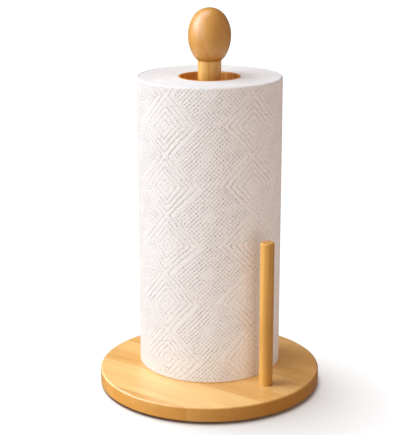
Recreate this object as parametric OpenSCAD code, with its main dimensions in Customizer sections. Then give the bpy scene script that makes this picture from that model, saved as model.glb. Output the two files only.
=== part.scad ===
// Countertop paper towel holder with a roll of paper on it.
//
// A flat round base carries an upright post, which stands a little behind the middle of
// the base and ends in an egg-shaped finial, and a short tear arm in front that the roll
// is held against when a sheet is torn. The roll is a cardboard core with the paper wound
// on it: it stands on the base, turns about the post and lifts off over the finial.
//
// Units are millimetres and +Z is up. The origin is the centre of the base on the worktop,
// the front is -Y, and each module draws one piece of the assembly where it belongs.

/* [Base] */
// Diameter of the base board
base_diameter = 180; // [160:1:210]
// Thickness of the base board
base_thickness = 12; // [10:0.5:18]
// Rounding of the base board's top and bottom edges
base_edge = 1.5; // [0.5:0.1:4]

/* [Foot pads] */
// Number of foot pads under the base
pad_count = 4; // [3:1:6]
// Diameter of a foot pad
pad_diameter = 14; // [8:1:20]
// Thickness of a foot pad
pad_thickness = 1.5; // [1:0.5:4]
// Radius of the circle that the foot pads stand on
pad_circle = 72; // [50:1:80]

/* [Post] */
// Diameter of the post
post_diameter = 18.7; // [16:0.1:25]
// Height of the post's top above the base board
post_height = 250.5; // [240:0.5:320]
// Distance of the post behind the middle of the base
post_offset = 15.5; // [0:0.5:25]
// Depth of the shallow socket that the post stands in
post_socket = 2; // [1:0.5:4]

/* [Finial] */
// Largest diameter of the finial
finial_diameter = 34; // [24:0.5:38]
// Diameter of the finial's foot, where it meets the post
finial_foot = 20.8; // [19:0.1:24]
// Height of the finial's widest place above its foot
finial_belly = 19.8; // [14:0.1:26]
// Height of the whole finial
finial_height = 41.3; // [30:0.1:50]
// Radius of the finial's round top
finial_crown = 15.2; // [10:0.1:16.5]
// Bevel on the edge of the finial's foot
finial_bevel = 0.8; // [0.2:0.1:2]

/* [Tear arm] */
// Diameter of the tear arm
arm_diameter = 11; // [8:0.5:16]
// Height of the tear arm above the base board
arm_height = 118; // [80:1:240]
// Distance from the post's axis to the arm's axis
arm_reach = 73.8; // [68:0.1:80]
// Angle of the arm around the post, measured from the right towards the front
arm_angle = 52.6; // [0:0.1:90]
// Depth of the hole that the arm is set into
arm_socket = 8; // [5:0.5:9]
// Bevel on the arm's top edge
arm_bevel = 0.6; // [0.2:0.1:2]

/* [Paper roll] */
// Outer diameter of the wound paper
roll_diameter = 116.6; // [60:0.1:134]
// Height of the paper roll and of its core
roll_height = 238; // [200:1:260]
// Inner diameter of the cardboard core
core_bore = 47.2; // [38:0.1:50]
// Wall of the cardboard core
core_wall = 1; // [0.6:0.1:2]
// Rounding of the wound paper's outer edges
roll_edge = 1.2; // [0.4:0.1:4]

/* [Fasteners] */
// Thread diameter of the post bolt, the finial stud and both inserts
thread_diameter = 6; // [5:1:8]
// Outer diameter of a threaded insert
insert_diameter = 10; // [8:0.5:11]
// Length of a threaded insert
insert_length = 15; // [10:1:20]
// Length of the post bolt under its head
bolt_length = 25; // [20:1:35]
// Diameter of the post bolt's head
bolt_head_diameter = 10.5; // [9:0.5:13]
// Height of the post bolt's head
bolt_head_height = 3.3; // [2.5:0.1:5]
// Width across the flats of the post bolt's hexagon socket
bolt_key = 4; // [3:0.5:6]
// Outer diameter of the post washer
washer_diameter = 18; // [12:0.5:20]
// Thickness of the post washer
washer_thickness = 1.6; // [1:0.1:2]
// Length of the finial stud inside the finial
stud_in_finial = 16; // [10:1:20]
// Length of the finial stud inside the post
stud_in_post = 12; // [8:1:14]
// Diameter of the arm's wood screw
screw_diameter = 3.5; // [3:0.5:5]
// Length of the arm's wood screw
screw_length = 25; // [16:1:40]

/* [Hidden] */
$fn = 96;

// One fifth of a millimetre keeps the finial off the post and the roll off the base, and
// a twentieth all round lets the pieces that turn on each other run freely. The same
// twentieth is the room for glue around the foot of the post and of the arm.
rest_gap = 0.2;
running_gap = 0.05;
glue_gap = 0.05;

base_bottom = pad_thickness;
base_top = base_bottom + base_thickness;
post_bottom = base_top - post_socket;
post_top = base_top + post_height;
finial_bottom = post_top + rest_gap;
arm_bottom = base_top - arm_socket;
arm_top = base_top + arm_height;
roll_bottom = base_top + rest_gap;

post_radius = post_diameter / 2;
finial_radius = finial_diameter / 2;
arm_radius = arm_diameter / 2;
arm_x = arm_reach * cos(arm_angle);
arm_y = post_offset - arm_reach * sin(arm_angle);

// The finial's side is two arcs that meet at its widest place, both upright there. The
// upper one runs into the crown's circle, and the lower one ends on the foot's edge.
crown_rise = finial_height - finial_belly - finial_crown;
shoulder_radius = (pow(finial_radius, 2) + pow(crown_rise, 2) - pow(finial_crown, 2))
    / (2 * (finial_radius - finial_crown));
foot_step = finial_radius - finial_foot / 2;
flank_radius = (pow(foot_step, 2) + pow(finial_belly, 2)) / (2 * foot_step);

// The counterbore under the base takes the washer and the bolt's head below the surface.
bore_clearance = 0.3;
counterbore_radius = washer_diameter / 2 + bore_clearance;
counterbore_top = base_bottom + washer_thickness + bolt_head_height + bore_clearance;
bolt_head_top = counterbore_top - washer_thickness;

insert_radius = insert_diameter / 2;
insert_drill = insert_length + 5;
thread_radius = thread_diameter / 2;
bolt_radius = thread_radius - running_gap;
socket_depth = bolt_head_height * 0.6;
hexagon = 2 / sqrt(3);

// The wood screw's head is a 90 degree countersink, as deep as it is wider than the shank.
screw_radius = screw_diameter / 2;
screw_head_radius = screw_diameter;
screw_head_height = screw_head_radius - screw_radius;
screw_bottom = base_bottom + 0.3;
recess_width = 0.9;
recess_depth = 1.2;

core_radius = core_bore / 2 + core_wall;
paper_bore_radius = core_radius + running_gap;

// A round bar along +Z whose two edges are rounded by a quarter circle.
module rounded_disc(radius, height, edge) {
    rotate_extrude()
        union() {
            square([radius - edge, height]);
            translate([0, edge])
                square([radius, height - 2 * edge]);
            for (level = [edge, height - edge])
                translate([radius - edge, level])
                    circle(edge);
        }
}

// A straight hole or bar on the post's axis.
module on_post(level, radius, height) {
    translate([0, post_offset, level])
        cylinder(r = radius, h = height);
}

// A straight hole or bar on the arm's axis.
module on_arm(level, radius, height) {
    translate([arm_x, arm_y, level])
        cylinder(r = radius, h = height);
}

// The screw's head and the countersink for it are the same cone, on the arm's axis.
module screw_cone() {
    translate([arm_x, arm_y, screw_bottom])
        cylinder(r1 = screw_head_radius, r2 = screw_radius, h = screw_head_height);
}

module base_board() {
    color("burlywood")
        difference() {
            translate([0, 0, base_bottom])
                rounded_disc(base_diameter / 2, base_thickness, base_edge);
            on_post(post_bottom, post_radius + glue_gap, post_socket + 1);
            on_post(base_bottom - 1, thread_radius + bore_clearance, base_thickness);
            on_post(base_bottom - 1, counterbore_radius, counterbore_top - base_bottom + 1);
            on_arm(arm_bottom, arm_radius + glue_gap, arm_socket + 1);
            on_arm(base_bottom, screw_radius, base_thickness / 2);
            on_arm(base_bottom - 1, screw_head_radius, screw_bottom - base_bottom + 1);
            screw_cone();
        }
}

module foot_pad(index) {
    color("dimgray")
        rotate([0, 0, index * 360 / pad_count])
            translate([pad_circle, 0, 0])
                cylinder(r = pad_diameter / 2, h = pad_thickness);
}

module post() {
    color("peru")
        difference() {
            on_post(post_bottom, post_radius, post_top - post_bottom);
            on_post(post_bottom - 1, insert_radius, insert_drill + 1);
            on_post(post_top - insert_drill, insert_radius, insert_drill + 1);
        }
}

// A threaded insert is a plain sleeve here: its bore stands for the thread's full width.
module threaded_insert(level) {
    difference() {
        on_post(level, insert_radius, insert_length);
        on_post(level - 1, thread_radius, insert_length + 2);
    }
}

module post_insert() {
    color("goldenrod")
        threaded_insert(post_bottom);
}

module finial_insert() {
    color("goldenrod")
        threaded_insert(post_top - insert_length);
}

module post_washer() {
    color("silver")
        difference() {
            on_post(bolt_head_top, washer_diameter / 2, washer_thickness);
            on_post(bolt_head_top - 1, thread_radius + bore_clearance, washer_thickness + 2);
        }
}

module post_bolt() {
    color("gray")
        difference() {
            union() {
                on_post(bolt_head_top, bolt_radius, bolt_length);
                on_post(bolt_head_top - bolt_head_height, bolt_head_diameter / 2,
                    bolt_head_height);
            }
            translate([0, post_offset, bolt_head_top - bolt_head_height - 1])
                cylinder(r = bolt_key / 2 * hexagon, h = socket_depth + 1, $fn = 6);
        }
}

// Half of the finial's outline: the crown's circle, the shoulder and the flank, each cut
// to its own height, on an axis at x = 0 with the finial's foot at y = 0.
module finial_half() {
    crown_level = finial_height - finial_crown;
    crown_slope = crown_rise / (shoulder_radius - finial_crown);
    crown_start = crown_level + finial_crown * crown_slope;
    difference() {
        union() {
            intersection() {
                translate([0, crown_level])
                    circle(finial_crown);
                translate([0, crown_start])
                    square([finial_radius, finial_height]);
            }
            intersection() {
                translate([finial_radius - shoulder_radius, finial_belly])
                    circle(shoulder_radius);
                translate([0, finial_belly])
                    square([finial_radius, crown_start - finial_belly]);
            }
            intersection() {
                translate([finial_radius - flank_radius, finial_belly])
                    circle(flank_radius);
                square([finial_radius, finial_belly]);
            }
        }
        translate([finial_foot / 2 - finial_bevel, 0])
            rotate(-45)
                square(finial_radius);
    }
}

module finial() {
    color("sandybrown")
        difference() {
            translate([0, post_offset, finial_bottom])
                rotate_extrude()
                    finial_half();
            on_post(finial_bottom - 1, thread_radius, stud_in_finial + 2);
        }
}

module finial_stud() {
    color("gray")
        on_post(post_top - stud_in_post, bolt_radius, stud_in_post + stud_in_finial);
}

module tear_arm() {
    color("peru")
        difference() {
            union() {
                on_arm(arm_bottom, arm_radius, arm_top - arm_bottom - arm_bevel);
                translate([arm_x, arm_y, arm_top - arm_bevel])
                    cylinder(r1 = arm_radius, r2 = arm_radius - arm_bevel, h = arm_bevel);
            }
            on_arm(arm_bottom - 1, screw_radius, screw_length);
        }
}

module arm_screw() {
    color("silver")
        difference() {
            union() {
                screw_cone();
                on_arm(screw_bottom + screw_head_height, screw_radius,
                    screw_length - screw_head_height - screw_diameter);
                translate([arm_x, arm_y, screw_bottom + screw_length - screw_diameter])
                    cylinder(r1 = screw_radius, r2 = 0.3, h = screw_diameter);
            }
            for (turn = [0, 90])
                translate([arm_x, arm_y, screw_bottom])
                    rotate([0, 0, turn])
                        cube([screw_diameter, recess_width, 2 * recess_depth], center = true);
        }
}

module roll_core() {
    color("tan")
        difference() {
            on_post(roll_bottom, core_radius, roll_height);
            on_post(roll_bottom - 1, core_bore / 2, roll_height + 2);
        }
}

module paper_roll() {
    color("whitesmoke")
        difference() {
            translate([0, post_offset, roll_bottom])
                rounded_disc(roll_diameter / 2, roll_height, roll_edge);
            on_post(roll_bottom - 1, paper_bore_radius, roll_height + 2);
        }
}

base_board();
foot_pad(0);  // foot_pad_1
foot_pad(1);  // foot_pad_2
foot_pad(2);  // foot_pad_3
foot_pad(3);  // foot_pad_4
post();
post_insert();
post_washer();
post_bolt();
finial();
finial_stud();
finial_insert();
tear_arm();
arm_screw();
roll_core();
paper_roll();
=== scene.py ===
"""Looks for the paper towel holder: bamboo stand, kraft core and a roll of embossed paper.

The wooden parts and the fasteners under the base are the CAD nodes with materials of their
own. The wound paper, the core and the finial's stud are replaced by detailed pieces that
take their places and sizes from the nodes. Everything is in metres, in the CAD frame.
"""

import math

import bpy
import numpy as np
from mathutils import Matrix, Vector

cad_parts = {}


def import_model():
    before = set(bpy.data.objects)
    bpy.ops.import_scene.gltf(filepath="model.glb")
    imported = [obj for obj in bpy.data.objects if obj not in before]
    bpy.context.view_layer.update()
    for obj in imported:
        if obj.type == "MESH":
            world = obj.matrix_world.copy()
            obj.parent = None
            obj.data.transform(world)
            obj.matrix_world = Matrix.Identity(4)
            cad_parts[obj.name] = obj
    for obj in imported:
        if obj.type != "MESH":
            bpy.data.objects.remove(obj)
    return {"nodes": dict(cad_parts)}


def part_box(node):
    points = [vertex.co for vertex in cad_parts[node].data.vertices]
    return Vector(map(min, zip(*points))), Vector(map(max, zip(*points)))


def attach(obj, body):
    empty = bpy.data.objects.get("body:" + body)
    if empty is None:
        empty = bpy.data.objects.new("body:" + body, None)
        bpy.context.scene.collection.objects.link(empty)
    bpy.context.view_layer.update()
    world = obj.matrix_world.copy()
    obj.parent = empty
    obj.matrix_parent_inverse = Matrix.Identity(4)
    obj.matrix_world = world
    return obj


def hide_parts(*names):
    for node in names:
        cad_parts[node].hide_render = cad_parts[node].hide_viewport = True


MM = 0.001
TURN = 2 * math.pi

# The paper: the columns of its grid in one turn, its thickness when wound, the free end's
# place around the roll, measured from the front towards the right, the columns in a sheet
# between two perforations, and how many columns at the free end lift, and how far.
GRID_AROUND = 450
SHEET_THICKNESS = 0.40 * MM
FREE_END_ANGLE = math.radians(130)
SHEET_COLUMNS = 289
FLAP_COLUMNS = 16
FLAP_LIFT = 1.1 * MM

# The emboss, in steps of the paper's grid: diamonds in two lattices, one of nested outlines
# and one filled with an even field of dots. Dots in a field are pressed FIELD_PRESS times as
# deep, and FIELD_LINE_WEAR is enough to wear its lines away.
DIAMOND_WIDTH = 90
DIAMOND_HEIGHT = 58
LINE_SPACING = 6.4
DOT_SPACING = 4
DIAMOND_START = (72, 51)
FIELD_SPACING = 4.4
FIELD_PRESS = 1.3
FIELD_LINE_WEAR = 1.3
DIAMOND_MARGIN = 1.6
DIAMOND_CENTRE = 12

# Where the emboss is pressed less, and its pits get less painted shade: the middles of two
# upright stretches, their width and how much less. The first, on the roll's right, is the
# side in shade, where the pattern is kept faint.
FAINT_AT = (85, 262)
FAINT_WIDTH = 42
FAINT_AMOUNT = 0.4

DOT_DEPTH = 0.25 * MM
LINE_DEPTH = 0.10 * MM

# How far the large lamps stand from the middle of the holder.
LAMP_DISTANCE = 2.5


# ---------------------------------------------------------------- meshes


def new_piece(name, vertices, faces, smooth=True):
    """A mesh object of that name, in the scene."""
    mesh = bpy.data.meshes.new(name)
    mesh.from_pydata(vertices.tolist(), [], faces.tolist())
    mesh.validate()
    mesh.polygons.foreach_set("use_smooth", [smooth] * len(mesh.polygons))
    piece = bpy.data.objects.new(name, mesh)
    bpy.context.scene.collection.objects.link(piece)
    return piece


def grid_faces(rows, columns, closed, first=0):
    """Quads between the points of a grid. closed joins its last column to its first."""
    row, column = np.meshgrid(
        np.arange(rows - 1), np.arange(columns if closed else columns - 1), indexing="ij"
    )
    after = (column + 1) % columns
    corners = [
        row * columns + column,
        row * columns + after,
        (row + 1) * columns + after,
        (row + 1) * columns + column,
    ]
    return np.stack(corners, axis=-1).reshape(-1, 4) + first


def round_points(axis, radius, angle, height):
    """Points at that radius and angle around a vertical axis. Angle 0 is the front."""
    radius, angle, height = np.broadcast_arrays(radius, angle, height)
    x = axis.x + radius * np.sin(angle)
    y = axis.y - radius * np.cos(angle)
    return np.stack([x, y, height], axis=-1)


def waves(angle, height, size, seed):
    """Smooth seeded ups and downs around a round piece, between about -size and size."""
    chance = np.random.default_rng(seed)
    total = np.zeros(np.broadcast(angle, height).shape)
    for times_around in range(1, 6):
        shift, slope = chance.uniform(0, TURN), chance.uniform(-25, 25)
        total = total + np.sin(times_around * angle + slope * height + shift) / times_around
    return total * size / 2


# ---------------------------------------------------------------- paper


def emboss(around, up):
    """The emboss at each point of the paper's grid: place across the lines, place along them
    from dot to dot, and how worn the dots and the lines are. 1 is worn away and 0 is fully
    pressed. The dots of the even fields go below 0, because they are pressed deeper.

    Diamonds stand in two interleaved lattices, and each point belongs to the nearest diamond
    centre. Those of the first lattice are even fields of dots. Those of the second are nested
    outlines that carry rows of dots.
    """
    # These stretches press the emboss less, so their pits are painted with less shade.
    faint = sum(
        FAINT_AMOUNT * np.exp(-(((around - place) / FAINT_WIDTH) ** 2)) for place in FAINT_AT
    )
    nearest = np.full(around.shape, 1e9)
    across = np.zeros(around.shape)
    along = np.zeros(around.shape)
    in_field = np.zeros(around.shape, bool)
    margin = np.zeros(around.shape)
    around = around + 1.3 * np.sin(up / 23 + 1) + 0.7 * np.sin(up / 7 + around / 29)
    up = up + 1.3 * np.sin(around / 31) + 0.7 * np.sin(around / 9 + 2)
    for shift, field in ((0, True), (0.5, False)):
        a = around - DIAMOND_START[0] - shift * DIAMOND_WIDTH
        b = up - DIAMOND_START[1] - shift * DIAMOND_HEIGHT
        a = (a + DIAMOND_WIDTH / 2) % DIAMOND_WIDTH - DIAMOND_WIDTH / 2
        b = (b + DIAMOND_HEIGHT / 2) % DIAMOND_HEIGHT - DIAMOND_HEIGHT / 2
        p, q = a + b, a - b
        reach = np.maximum(abs(p), abs(q))
        lines, dots = reach, np.minimum(abs(p), abs(q))
        if field:
            lines = (around + up) * LINE_SPACING / FIELD_SPACING
            dots = (around - up) * DOT_SPACING / FIELD_SPACING
        mine = reach < nearest
        nearest = np.where(mine, reach, nearest)
        across = np.where(mine, lines, across)
        along = np.where(mine, dots, along)
        in_field = np.where(mine, field, in_field)
        margin = reach - margin
    blank = np.clip(2 - abs(margin) / DIAMOND_MARGIN, 0, 1)
    ripple = np.sin(around / 5.3 + up / 3.7) * np.sin(up / 6.1 - around / 9.7)
    patch = np.sin(around / 13 + up / 31) * np.sin(up / 17 - around / 23)
    centre = np.clip(1 - nearest / DIAMOND_CENTRE, 0, 1)
    worn = np.clip(0.14 - 0.22 * ripple + 0.5 * centre + faint + blank, 0, 1)
    worn = np.where(in_field, 1 - FIELD_PRESS * (1 - worn), worn)
    lines_worn = 0.66 - patch + FIELD_LINE_WEAR * in_field + 0.5 * centre + faint + blank
    lines_worn = np.clip(lines_worn, 0, 1)
    return across, along, worn, lines_worn


def near(place, spacing, width):
    """1 where the place is a multiple of spacing, falling to 0 within about width."""
    off = (place + spacing / 2) % spacing - spacing / 2
    return np.exp(-((off / width) ** 2))


def perforation(along, height, line_at):
    """The cut dashes across the paper, this far along it, in metres of depth."""
    width, depth, dash_pitch, dash_share = 0.7 * MM, 0.28 * MM, 7 * MM, 0.72
    off_line = (along - line_at) / width
    dashes = (height / dash_pitch) % 1 < dash_share
    return depth * np.exp(-(off_line**2)) * dashes


def sheet_grid(axis, low, high, radius, edge, columns, under=0):
    """Points of the wound sheet over a run of grid columns, and its marks at each of them.

    Columns count from the free end, and the sheet winds inwards, one thickness a turn. under
    adds that many columns of its inner side, so that the lifted end has a thickness.
    """
    step = TURN * radius / GRID_AROUND
    rows = round((high - low) / step) + 1
    column = np.arange(columns.start, columns.stop, dtype=float)
    if under:
        column = np.concatenate([np.arange(under, -1, -1.0), column])
    inner_side = np.arange(len(column)) <= under if under else np.zeros(len(column), bool)
    column, row = np.meshgrid(column, np.arange(rows, dtype=float))
    height = low + (high - low) * row / (rows - 1)
    along = column * step

    tooth_pitch, tooth_depth = 3.5 * MM, 0.9 * MM
    torn = (0.5 - abs((height / tooth_pitch) % 1 - 0.5)) * 2 * tooth_depth
    along = along + torn * np.exp(-column / 1.5)
    angle = FREE_END_ANGLE - along / radius

    from_end = np.minimum(height - low, high - height)
    inset = np.clip(edge - from_end, 0, edge)
    rounding = edge - np.sqrt(np.maximum(edge**2 - inset**2, 0))
    fade = np.clip(from_end / (3 * MM), 0, 1) ** 0.7
    lift = np.clip(1 - column / FLAP_COLUMNS, 0, 1) ** 2
    curl = 0.75 + 0.25 * np.cos(height * 34 + 0.6)

    chance = np.random.default_rng(7)
    across, between, worn, lines_worn = emboss(column, row)
    lines = near(across, LINE_SPACING, 1.5) * (1 - lines_worn)
    dots = near(across, LINE_SPACING, 1.3) * near(between, DOT_SPACING, 1.3) * (1 - worn)
    depth = (LINE_DEPTH * lines + DOT_DEPTH * dots) * fade
    depth = depth + chance.normal(0, 0.03 * MM, column.shape)
    depth = depth + perforation(along, height, SHEET_COLUMNS * step)
    turns = along / (TURN * radius)
    reach = radius - FLAP_LIFT * 0.2 - turns * SHEET_THICKNESS - depth
    reach = reach + waves(angle, height, 0.16 * MM, 11) + lift * curl * FLAP_LIFT
    reach = reach - rounding - inner_side * SHEET_THICKNESS
    marks = {
        "across_lines": across,
        "between_dots": between,
        "dot_press": (1 - worn) * fade,
        "line_press": (1 - lines_worn) * fade,
    }
    return round_points(axis, reach, angle, height), marks


def make_sheets(axis, low, high, radius, edge):
    """The outermost sheet, with its free end, and the one before it on the roll."""
    last = GRID_AROUND + FLAP_COLUMNS + 2
    runs = {
        "paper_outer_sheet": (range(0, SHEET_COLUMNS + 1), FLAP_COLUMNS),
        "paper_next_sheet": (range(SHEET_COLUMNS, last), 0),
    }
    pieces = []
    for name, (columns, under) in runs.items():
        points, marks = sheet_grid(axis, low, high, radius, edge, columns, under)
        faces = grid_faces(points.shape[0], points.shape[1], closed=False)
        piece = new_piece(name, points.reshape(-1, 3), faces[:, ::-1])
        for mark, values in marks.items():
            layer = piece.data.attributes.new(mark, "FLOAT", "POINT")
            layer.data.foreach_set("value", values.ravel())
        pieces.append(piece)
    return pieces


def winding_face(axis, level, side, inner, outer, pitch, per_layer, columns):
    """One end of the wound paper: its layers as a fine spiral relief. side is 1 at the top."""
    rows = round((outer - inner) / pitch * per_layer) + 1
    radius = np.linspace(inner, outer, rows)[:, None]
    angle = np.linspace(0, TURN, columns, endpoint=False)[None, :]
    layers = (radius - inner) / pitch + angle / TURN
    layer = np.floor(layers).astype(int)
    chance = np.random.default_rng(5)
    height = chance.uniform(0, 0.10 * MM, layer.max() + 2)[layer]
    gap = 0.5 + 0.5 * np.cos((layers % 1) * TURN)
    down = height + 0.12 * MM * gap**2 + abs(waves(angle, radius * 9, 0.22 * MM, 3))
    down = down + 0.5 * MM * np.clip(1 - (radius - inner) / (1.5 * MM), 0, 1) ** 2
    return round_points(axis, radius, angle, level - side * down)


def make_windings(axis, low, high, inner, outer):
    """Both ends of the wound paper in one piece."""
    top = winding_face(axis, high, 1, inner, outer, 0.8 * MM, 4, 256)
    bottom = winding_face(axis, low, -1, inner, outer, 1.6 * MM, 4, 128)
    top_faces = grid_faces(*top.shape[:2], closed=True)[:, ::-1]
    bottom_faces = grid_faces(*bottom.shape[:2], closed=True, first=top[..., 0].size)
    points = np.concatenate([top.reshape(-1, 3), bottom.reshape(-1, 3)])
    return new_piece("paper_windings", points, np.concatenate([top_faces, bottom_faces]))


# ---------------------------------------------------------------- core and stud


def make_core(axis, low, high, outer, wall):
    """The cardboard tube, with the spiral seam of its plies inside and out."""
    rows, columns, ply_pitch = 160, 180, 96 * MM
    inner = outer - wall
    climb = np.linspace(low, high, rows)
    height = np.concatenate([climb, climb[::-1], climb[:1]])[:, None]
    inside = np.concatenate([np.full(rows, True), np.full(rows, False), [True]])[:, None]
    angle = np.linspace(0, TURN, columns, endpoint=False)[None, :]
    off_seam = ((height / ply_pitch - angle / TURN + 0.5) % 1 - 0.5) * ply_pitch / MM
    groove = 0.22 * MM * np.exp(-(off_seam**2) / 1.4)
    lap = 0.10 * MM * np.clip(1 - abs(off_seam - 4) / 4, 0, 1)
    from_end = np.minimum(height - low, high - height)
    frayed = abs(waves(angle * 7, height, 0.20 * MM, 21)) * (from_end < 0.3 * MM)
    radius = np.where(inside, inner + (groove - lap), outer - groove)
    level = height + np.where(height > (low + high) / 2, -frayed, frayed)
    points = round_points(axis, radius, angle, level)
    return new_piece("core_tube", points.reshape(-1, 3), grid_faces(*points.shape[:2], True))


def make_stud(axis, low, high, radius):
    """A threaded rod with a one millimetre pitch and bevelled ends."""
    pitch, depth, per_turn, columns = 1.0 * MM, 0.55 * MM, 10, 32
    rows = round((high - low) / pitch * per_turn) + 1
    height = np.linspace(low, high, rows)[:, None]
    angle = np.linspace(0, TURN, columns, endpoint=False)[None, :]
    phase = (height / pitch - angle / TURN) % 1
    tooth = np.clip(abs(phase - 0.5) * 2.6 - 0.15, 0, 1)
    bevel = np.clip(1 - np.minimum(height - low, high - height) / (0.8 * MM), 0, 1)
    reach = radius - depth * np.maximum(tooth, bevel)
    points = round_points(axis, reach, angle, height).reshape(-1, 3)
    faces = grid_faces(rows, columns, True).tolist()
    faces.append(list(range(columns))[::-1])
    faces.append(list(range((rows - 1) * columns, rows * columns)))
    mesh = bpy.data.meshes.new("finial_thread")
    mesh.from_pydata(points.tolist(), [], faces)
    mesh.polygons.foreach_set("use_smooth", [len(f.vertices) == 4 for f in mesh.polygons])
    piece = bpy.data.objects.new("finial_thread", mesh)
    bpy.context.scene.collection.objects.link(piece)
    return piece


# ---------------------------------------------------------------- materials


class Shader:
    """A new material, and short ways to add and join its nodes."""

    def __init__(self, name, **settings):
        self.material = bpy.data.materials.new(name)
        self.material.use_nodes = True
        self.tree = self.material.node_tree
        self.surface = self.tree.nodes["Principled BSDF"]
        for socket, value in settings.items():
            self.surface.inputs[socket.replace("_", " ")].default_value = value

    def node(self, kind, inputs=None, **settings):
        """A new node. inputs gives each input socket a value or an output to join."""
        made = self.tree.nodes.new("ShaderNode" + kind)
        for setting, value in settings.items():
            setattr(made, setting, value)
        for socket, value in (inputs or {}).items():
            self.join(value, made.inputs[socket])
        return made

    def join(self, value, socket):
        if isinstance(value, bpy.types.NodeSocket):
            self.tree.links.new(value, socket)
        else:
            socket.default_value = value

    def set(self, socket, value):
        """Gives the surface's socket a value that varies."""
        self.join(value, self.surface.inputs[socket])

    def math(self, operation, *values):
        """The result of one math operation on one to three values."""
        return self.node("Math", dict(enumerate(values)), operation=operation).outputs[0]

    def coords(self, turn=(0, 0, 0), scale=(1, 1, 1)):
        """The piece's own coordinates, turned and then scaled."""
        place = self.node("TexCoord").outputs["Object"]
        turned = self.node("Mapping", {"Vector": place, "Rotation": turn})
        return self.node("Mapping", {"Vector": turned.outputs[0], "Scale": scale}).outputs[0]

    def noise(self, vector, scale, detail=3.0, roughness=0.5, distortion=0.0):
        inputs = {
            "Vector": vector,
            "Scale": scale,
            "Detail": detail,
            "Roughness": roughness,
            "Distortion": distortion,
        }
        return self.node("TexNoise", inputs).outputs["Fac"]

    def spread(self, value, low, high, to_low=0.0, to_high=1.0):
        """A value's range low to high carried over to another range, and held there."""
        inputs = {0: value, 1: low, 2: high, 3: to_low, 4: to_high}
        return self.node("MapRange", inputs).outputs[0]

    def ramp(self, value, *stops):
        """A colour ramp. Each stop is a place from 0 to 1 and a colour."""
        made = self.node("ValToRGB", {0: value})
        elements = made.color_ramp.elements
        while len(elements) < len(stops):
            elements.new(1.0)
        for element, (place, colour) in zip(elements, stops):
            element.position = place
            element.color = (*colour, 1)
        return made.outputs[0]

    def mix(self, amount, first, second, blend="MIX"):
        """Two colours mixed by amount. A colour may be three numbers."""
        made = self.node("Mix", data_type="RGBA", blend_type=blend)
        self.join(amount, made.inputs["Factor"])
        for socket, colour in ((6, first), (7, second)):
            if isinstance(colour, tuple):
                colour = (*colour, 1)
            self.join(colour, made.inputs[socket])
        return made.outputs[2]

    def bump(self, height, strength, distance):
        inputs = {"Height": height, "Strength": strength, "Distance": distance}
        self.set("Normal", self.node("Bump", inputs).outputs[0])


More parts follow.
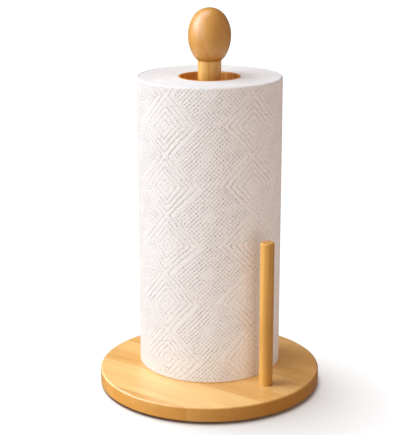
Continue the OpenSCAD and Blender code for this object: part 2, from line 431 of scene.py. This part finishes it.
def bamboo(name, turn, lying, strip_width, pale, deep, knuckle_every):
    """Lacquered bamboo. Its grain runs up, or along its turned Y axis when it is lying.

    It is glued up from strips, each with a tone of its own, with dark knuckles across them
    at heights of their own, and with fibres along them. The cut ends of the fibres, round the
    edge of a lying board, take up more lacquer and are deeper in colour.
    """
    wood = Shader(name, Roughness=0.4, Coat_Weight=0.6, Coat_Roughness=0.32)
    x, y, z = wood.node("SeparateXYZ", {0: wood.coords(turn)}).outputs
    if lying:
        y, z = z, y
    bend = wood.noise(wood.coords(turn, (5, 2, 5) if lying else (5, 5, 2)), 1.0, 1.0)
    x = wood.math("MULTIPLY_ADD", bend, 0.004, x)

    strip = wood.math("DIVIDE", x, strip_width)
    index = wood.math("FLOOR", strip)
    in_strip = wood.math("FRACT", strip)
    own = wood.node("TexWhiteNoise", {"W": index}, noise_dimensions="1D")
    tone = own.outputs["Value"]
    shift = wood.node("SeparateColor", {0: own.outputs["Color"]}).outputs[1]

    def along_grain(across, along, step):
        """A place for noise that is drawn out along the grain and differs by strip."""
        return wood.node(
            "CombineXYZ",
            {
                0: wood.math("MULTIPLY", x, across),
                1: wood.math("MULTIPLY", y, across),
                2: wood.math("MULTIPLY_ADD", z, along, wood.math("MULTIPLY", tone, step)),
            },
        ).outputs[0]

    fibres = wood.noise(along_grain(2100.0, 22.0, 40.0), 1.0, 4.0, 0.6)
    streaks = wood.noise(along_grain(620.0, 8.0, 70.0), 1.0, 2.0, 0.5)
    clouds = wood.noise(along_grain(70.0, 16.0, 90.0), 1.0, 2.0, 0.5)

    wobble = wood.noise(wood.coords(turn, (90, 12, 90) if lying else (90, 90, 12)), 1.0, 2.0)
    along = wood.math("DIVIDE", z, knuckle_every)
    along = wood.math("ADD", along, wood.math("MULTIPLY", shift, 7.0))
    along = wood.math("MULTIPLY_ADD", wobble, 0.02, along)
    off_knuckle = wood.math("ABSOLUTE", wood.math("SUBTRACT", wood.math("FRACT", along), 0.5))
    knuckle = wood.spread(off_knuckle, 0.0, 0.02, 1.0, 0.0)
    knuckle = wood.math("MULTIPLY", knuckle, wood.spread(streaks, 0.35, 0.65, 0.1, 1.0))

    off_edge = wood.math("ABSOLUTE", wood.math("SUBTRACT", in_strip, 0.5))
    seam = wood.spread(off_edge, 0.488, 0.5)
    mottle = wood.noise(wood.coords(), 330.0, 3.0, 0.6)

    blend = wood.math("MULTIPLY_ADD", fibres, 0.27, wood.math("MULTIPLY", mottle, 0.08))
    blend = wood.math("MULTIPLY_ADD", streaks, 0.30, blend)
    blend = wood.math("MULTIPLY_ADD", clouds, 0.30, blend)
    blend = wood.math("ADD", blend, wood.spread(tone, 0.0, 1.0, -0.10, 0.10))
    between = tuple(0.4 * d + 0.6 * p for d, p in zip(deep, pale))
    colour = wood.ramp(blend, (0.34, deep), (0.50, between), (0.66, pale))
    darkest = tuple(0.55 * d for d in deep)
    cut_end = (0.62, 0.25, 0.008)
    colour = wood.mix(wood.math("MULTIPLY", knuckle, 0.2), colour, darkest)
    colour = wood.mix(wood.math("MULTIPLY", seam, 0.22), colour, darkest)
    normal = wood.node("TexCoord").outputs["Normal"]
    turned = wood.node("Mapping", {"Vector": normal, "Rotation": turn}).outputs[0]
    facing = wood.node("SeparateXYZ", {0: turned}).outputs
    end = wood.math("ABSOLUTE", facing[1 if lying else 2])
    if lying:
        side = wood.math("SUBTRACT", 1.0, wood.math("ABSOLUTE", facing[2]))
        end = wood.math("MULTIPLY_ADD", end, 0.60, wood.math("MULTIPLY", side, 0.40))
        cut = wood.noise(wood.coords(scale=(260, 260, 900)), 1.0, 4.0, 0.6)
    else:
        end = wood.spread(end, 0.9, 1.0, 0.0, 0.6)
        cut = wood.noise(wood.coords(scale=(900, 900, 260)), 1.0, 4.0, 0.6)
    end = wood.math("MULTIPLY", end, wood.spread(cut, 0.3, 0.7, 0.75, 1.1))
    colour = wood.mix(end, colour, cut_end)
    wood.set("Base Color", colour)
    wood.set("Roughness", wood.spread(fibres, 0.3, 0.7, 0.46, 0.36))
    relief = wood.math("SUBTRACT", fibres, wood.math("MULTIPLY", seam, 0.8))
    relief = wood.math("SUBTRACT", relief, wood.math("MULTIPLY", knuckle, 0.5))
    wood.bump(relief, 0.25, 0.0001)
    return wood.material


def paper_material():
    """Soft absorbent paper: almost white and matt, with loose fibres.

    The sheets' marks say where the emboss runs. It is a fine relief here, on top of the
    coarser one in the mesh, with painted shade that makes it a little darker where it is pressed.
    """
    paper = Shader("embossed_paper", Roughness=0.93, Subsurface_Weight=0.08)
    paper.surface.inputs["Subsurface Radius"].default_value = (0.004, 0.003, 0.002)
    paper.surface.inputs["Subsurface Scale"].default_value = 0.2
    paper.surface.inputs["Specular IOR Level"].default_value = 0.2

    def mark(name):
        return paper.node("Attribute", attribute_name=name).outputs["Fac"]

    uneven = paper.noise(paper.coords(), 260.0, 2.0, 0.6)
    wander = paper.spread(uneven, 0.3, 0.7, -0.9, 0.9)
    off_line = paper.math("ADD", mark("across_lines"), wander)
    off_line = paper.math("PINGPONG", off_line, LINE_SPACING / 2)
    off_dot = paper.math("PINGPONG", mark("between_dots"), DOT_SPACING / 2)
    off_centre = paper.math("SQRT", paper.math(
        "MULTIPLY_ADD", off_line, off_line, paper.math("MULTIPLY", off_dot, off_dot)
    ))
    dot = paper.spread(off_centre, 0.4, 1.8, 1.0, 0.0)
    dot = paper.math("MULTIPLY", dot, mark("dot_press"))
    struck = paper.noise(paper.coords(), 380.0, 1.0, 0.5)
    dot = paper.math("MULTIPLY", dot, paper.spread(struck, 0.35, 0.6, 0.5, 1.0))
    line = paper.spread(off_line, 0.2, 2.6, 1.0, 0.0)
    line = paper.math("MULTIPLY", line, mark("line_press"))

    pulp = paper.noise(paper.coords(), 900.0, 4.0, 0.65)
    crepe = paper.noise(paper.coords(scale=(1, 1, 2.2)), 420.0, 2.0, 0.5)
    cloud = paper.noise(paper.coords(scale=(1, 1, 0.6)), 40.0, 2.0)
    tone = paper.math("MULTIPLY_ADD", pulp, 0.5, paper.math("MULTIPLY", cloud, 0.5))
    colour = paper.ramp(tone, (0.3, (0.86, 0.83, 0.81)), (0.7, (0.92, 0.90, 0.88)))
    # Painted shade: the pressed dots are mixed towards a darker tone, as if shaded in their pits.
    painted_pit_shade = paper.math("MULTIPLY", dot, 0.38)
    paper.set("Base Color", paper.mix(painted_pit_shade, colour, (0.50, 0.46, 0.43)))

    relief = paper.math("MULTIPLY_ADD", pulp, 0.4, paper.math("MULTIPLY", crepe, 0.8))
    relief = paper.math("SUBTRACT", relief, dot)
    relief = paper.math("SUBTRACT", relief, paper.math("MULTIPLY", line, 0.5))
    paper.bump(relief, 1.0, 0.0006)
    return paper.material


def winding_material(axis):
    """The roll's ends: cut edges of the layers, in rings of slightly darker tone, painted shade for
    the gaps between them.
    """
    paper = Shader("wound_paper_edges", Roughness=0.95)
    paper.surface.inputs["Specular IOR Level"].default_value = 0.2
    centred = paper.node("VectorMath", {0: paper.coords(), 1: (-axis.x, -axis.y, 0)})
    flat = paper.node("VectorMath", {0: centred.outputs[0], 1: (1, 1, 0)}, operation="MULTIPLY")
    radius = paper.node("VectorMath", {0: flat.outputs[0]}, operation="LENGTH").outputs["Value"]
    # Painted shade: rings of darker tone by radius stand for the shade in the gaps between the
    # layers.
    layers = paper.noise(paper.node("CombineXYZ", {0: radius}).outputs[0], 1500.0, 2.0, 0.7)
    pulp = paper.noise(paper.coords(), 1200.0, 3.0, 0.6)
    tone = paper.math("MULTIPLY_ADD", layers, 0.7, paper.math("MULTIPLY", pulp, 0.3))
    paper.set("Base Color", paper.ramp(
        tone, (0.35, (0.84, 0.82, 0.805)), (0.62, (0.97, 0.95, 0.94))
    ))
    paper.bump(tone, 0.9, 0.0005)
    return paper.material


def kraft_material():
    """Grey-brown cardboard with flecks and long fibres."""
    board = Shader("kraft_board", Roughness=0.88)
    board.surface.inputs["Specular IOR Level"].default_value = 0.25
    flecks = board.noise(board.coords(scale=(1, 1, 0.25)), 900.0, 5.0, 0.7)
    clouds = board.noise(board.coords(scale=(1, 1, 0.12)), 160.0, 3.0)
    tone = board.math("MULTIPLY_ADD", flecks, 0.55, board.math("MULTIPLY", clouds, 0.45))
    board.set("Base Color", board.ramp(
        tone, (0.35, (0.48, 0.16, 0.03)), (0.5, (0.78, 0.36, 0.09)), (0.65, (0.92, 0.52, 0.17))
    ))
    board.set("Roughness", board.spread(flecks, 0.3, 0.7, 0.95, 0.8))
    board.bump(flecks, 0.4, 0.0002)
    return board.material


def metal_material(name, dark, bright, roughness):
    """Turned and plated metal with fine scratches around it and a little tarnish."""
    metal = Shader(name, Metallic=1.0, Roughness=roughness)
    scratches = metal.noise(metal.coords(scale=(1, 1, 9)), 1400.0, 3.0, 0.6)
    tarnish = metal.noise(metal.coords(), 260.0, 3.0)
    metal.set("Base Color", metal.ramp(tarnish, (0.35, dark), (0.65, bright)))
    metal.set("Roughness", metal.spread(scratches, 0.3, 0.7, roughness - 0.08, roughness + 0.12))
    metal.bump(scratches, 0.2, 0.00005)
    return metal.material


def rubber_material():
    """Black foam rubber with a fine open skin and a little dust."""
    rubber = Shader("foot_rubber", Roughness=0.8)
    skin = rubber.noise(rubber.coords(), 1600.0, 3.0, 0.6)
    dust = rubber.noise(rubber.coords(), 220.0, 3.0)
    rubber.set("Base Color", rubber.ramp(
        dust, (0.4, (0.022, 0.022, 0.023)), (0.75, (0.075, 0.072, 0.068))
    ))
    rubber.set("Roughness", rubber.spread(skin, 0.3, 0.7, 0.7, 0.95))
    rubber.bump(skin, 0.6, 0.0002)
    return rubber.material


def floor_material():
    """A plain matt white sweep, seen from above only. It throws back less light than it shows."""
    floor = Shader("floor_white", Roughness=1.0)
    floor.surface.inputs["Specular IOR Level"].default_value = 0.0
    seen = floor.node("LightPath").outputs["Is Camera Ray"]
    floor.set("Base Color", floor.mix(seen, (0.52, 0.44, 0.40), (0.8, 0.8, 0.8)))
    under = floor.node("NewGeometry").outputs["Backfacing"]
    floor.set("Alpha", floor.math("SUBTRACT", 1.0, under))
    return floor.material


def dress(node, material):
    """Gives a CAD node or a piece one material."""
    node.data.materials.clear()
    node.data.materials.append(material)


# ---------------------------------------------------------------- stage


def make_floor():
    """A wide white floor."""
    half = 40.0
    corners = np.array([[-half, -half, 0], [half, -half, 0], [half, half, 0], [-half, half, 0]])
    floor = new_piece("floor", corners, np.array([[0, 1, 2, 3]]))
    dress(floor, floor_material())
    floor.visible_glossy = False
    return floor


def from_azimuth(azimuth, elevation):
    """The direction at that azimuth and elevation. Azimuth 0 is the front, 90 the right."""
    around, up = math.radians(azimuth), math.radians(elevation)
    return Vector(
        (math.sin(around) * math.cos(up), -math.cos(around) * math.cos(up), math.sin(up))
    )


def make_light(name, kind, energy, colour, towards, place, lights, blockers=()):
    """A light that shines from towards onto place, and lights only the given objects.

    Everything casts a shadow in it, or only the blockers where there are any.
    """
    light = bpy.data.lights.new(name, kind)
    light.energy = energy
    light.color = colour
    lamp = bpy.data.objects.new(name, light)
    bpy.context.scene.collection.objects.link(lamp)
    lamp.rotation_euler = towards.to_track_quat("Z", "Y").to_euler()
    lamp.location = place + towards
    receivers = bpy.data.collections.new(name + "_receivers")
    for lit in lights:
        receivers.objects.link(lit)
    lamp.light_linking.receiver_collection = receivers
    if blockers:
        shading = bpy.data.collections.new(name + "_blockers")
        for piece in blockers:
            shading.objects.link(piece)
        lamp.light_linking.blocker_collection = shading
    return light


def make_lights(floor, wooden, paper):
    """A large soft key from the left, a weaker light overhead, and four with a single job.

    Two add sheen to the lacquered wood: one reaches all of it and is shaded by nothing else,
    and one reaches only the base board. One lifts the foot of the roll, and one keeps the
    floor white. They aren't a real room's light.
    """
    shown = [piece for piece in bpy.context.scene.objects if piece.type == "MESH"]
    shown.remove(floor)
    middle = Vector((0, 0, 0.14))
    foot = Vector((0, -0.04, 0.02))
    far = LAMP_DISTANCE
    key = make_light(
        "key", "AREA", 49.5, (0.895, 1.005, 1.105), from_azimuth(-63, 18) * far, middle, shown
    )
    key.size = 2.5
    top = make_light(
        "top", "AREA", 35, (0.90, 1.0, 1.10), from_azimuth(-105, 68) * far, middle, shown
    )
    top.size = 1.75
    sheen = make_light(
        "wood_sheen", "AREA", 46, (0.88, 1.0, 1.2), from_azimuth(-92, 32) * far, middle,
        wooden, wooden
    )
    sheen.size = 1.6
    lacquer = make_light(
        "lacquer_sheen", "AREA", 15, (0.86, 1.0, 1.25), from_azimuth(-138, 22) * far, middle,
        wooden[:1]
    )
    lacquer.size = 1.75
    lift = make_light(
        "foot_lift", "AREA", 0.15, (1.0, 0.94, 0.87), from_azimuth(38, 8) * 0.28, foot, paper
    )
    lift.size = 0.2
    wash = make_light(
        "floor_wash", "SUN", 3.6, (0.93, 1.0, 1.04), from_azimuth(-138, 73), middle, [floor]
    )
    wash.angle = math.radians(37)


def make_world(colour, fill, mirrored):
    """An even surround, plain white to the camera.

    fill is how bright it lights the scene, and mirrored how bright gloss shows it.
    """
    world = bpy.data.worlds.new("studio")
    world.use_nodes = True
    tree = world.node_tree
    background = tree.nodes["Background"]
    path = tree.nodes.new("ShaderNodeLightPath")
    tint = tree.nodes.new("ShaderNodeMix")
    tint.data_type = "RGBA"
    tint.inputs[6].default_value = (*colour, 1)
    # The strength multiplies this white by fill, so it is divided by it here.
    white = 1.05 / fill
    tint.inputs[7].default_value = (white, white, white, 1)
    strength = tree.nodes.new("ShaderNodeMapRange")
    strength.inputs["To Min"].default_value = fill
    strength.inputs["To Max"].default_value = mirrored
    tree.links.new(path.outputs["Is Camera Ray"], tint.inputs["Factor"])
    tree.links.new(tint.outputs[2], background.inputs["Color"])
    tree.links.new(path.outputs["Is Glossy Ray"], strength.inputs["Value"])
    tree.links.new(strength.outputs[0], background.inputs["Strength"])
    bpy.context.scene.world = world


def make_camera():
    """The photograph's viewpoint: about a metre away, looking 16 degrees down."""
    data = bpy.data.cameras.new("camera")
    data.sensor_width = 36.0
    data.lens = 103.6
    data.clip_start = 0.01
    data.clip_end = 100.0
    camera = bpy.data.objects.new("camera", data)
    bpy.context.scene.collection.objects.link(camera)
    camera.location = (-0.0012, -0.9697, 0.4116)
    camera.rotation_euler = (math.radians(90 - 15.68), 0, 0)
    bpy.context.scene.camera = camera


# ---------------------------------------------------------------- the scene


def build():
    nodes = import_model()["nodes"]
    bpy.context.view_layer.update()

    roll_low, roll_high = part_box("paper_roll")
    core_low, core_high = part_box("roll_core")
    stud_low, stud_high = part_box("finial_stud")
    axis = (core_low + core_high) / 2
    roll_radius = (roll_high.x - roll_low.x) / 2
    core_radius = (core_high.x - core_low.x) / 2
    edge = 1.2 * MM
    sheet_depth = 1.6 * MM
    glue_gap = 0.05 * MM
    core_wall = 1.0 * MM

    outer_sheet, next_sheet = make_sheets(axis, roll_low.z, roll_high.z, roll_radius, edge)
    windings = make_windings(
        axis, roll_low.z, roll_high.z, core_radius + glue_gap, roll_radius - sheet_depth
    )
    core = make_core(axis, core_low.z, core_high.z, core_radius, core_wall)
    stud = make_stud(axis, stud_low.z, stud_high.z, (stud_high.x - stud_low.x) / 2)

    paper = paper_material()
    dress(outer_sheet, paper)
    dress(next_sheet, paper)
    dress(windings, winding_material(axis))
    dress(core, kraft_material())
    for piece in (outer_sheet, next_sheet, windings):
        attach(piece, "paper")
    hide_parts("paper_roll")
    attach(core, "core")
    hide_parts("roll_core")
    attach(stud, "stud")
    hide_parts("finial_stud")

    grain = math.radians(125)
    board = bamboo(
        "base_bamboo", (0, 0, grain), True, 21 * MM, (0.86, 0.54, 0.195), (0.67, 0.325, 0.07), 0.16
    )
    # The post and the arm are one bamboo in two copies, a paler one for the post and a deeper one
    # for the arm: painted light and shade on these two pieces.
    upright = bamboo(
        "post_bamboo", (0, 0, 0.4), False, 7 * MM, (0.99, 0.61, 0.17), (0.68, 0.33, 0.05), 0.24
    )
    thin = bamboo(
        "arm_bamboo", (0, 0, 0.4), False, 7 * MM, (0.81, 0.43, 0.09), (0.49, 0.215, 0.02), 0.24
    )
    ball = bamboo(
        "finial_bamboo", (0, 0, 1.1), False, 11 * MM, (0.70, 0.35, 0.085), (0.56, 0.25, 0.038), 0.31
    )
    dress(nodes["base_board"], board)
    dress(nodes["post"], upright)
    dress(nodes["tear_arm"], thin)
    dress(nodes["finial"], ball)

    steel = metal_material("zinc_steel", (0.52, 0.53, 0.55), (0.74, 0.75, 0.77), 0.32)
    brass = metal_material("insert_brass", (0.62, 0.44, 0.16), (0.83, 0.64, 0.28), 0.30)
    dress(stud, steel)
    for name in ("post_washer", "post_bolt", "arm_screw"):
        dress(nodes[name], steel)
    for name in ("post_insert", "finial_insert"):
        dress(nodes[name], brass)
    rubber = rubber_material()
    for name in nodes:
        if name.startswith("foot_pad"):
            dress(nodes[name], rubber)

    wooden = [nodes[name] for name in ("base_board", "post", "tear_arm", "finial")]
    make_lights(make_floor(), wooden, [outer_sheet, next_sheet])
    make_world((0.61, 0.485, 0.42), 0.64, 0.3)
    make_camera()
    bpy.context.scene.view_settings.view_transform = "Standard"


build()
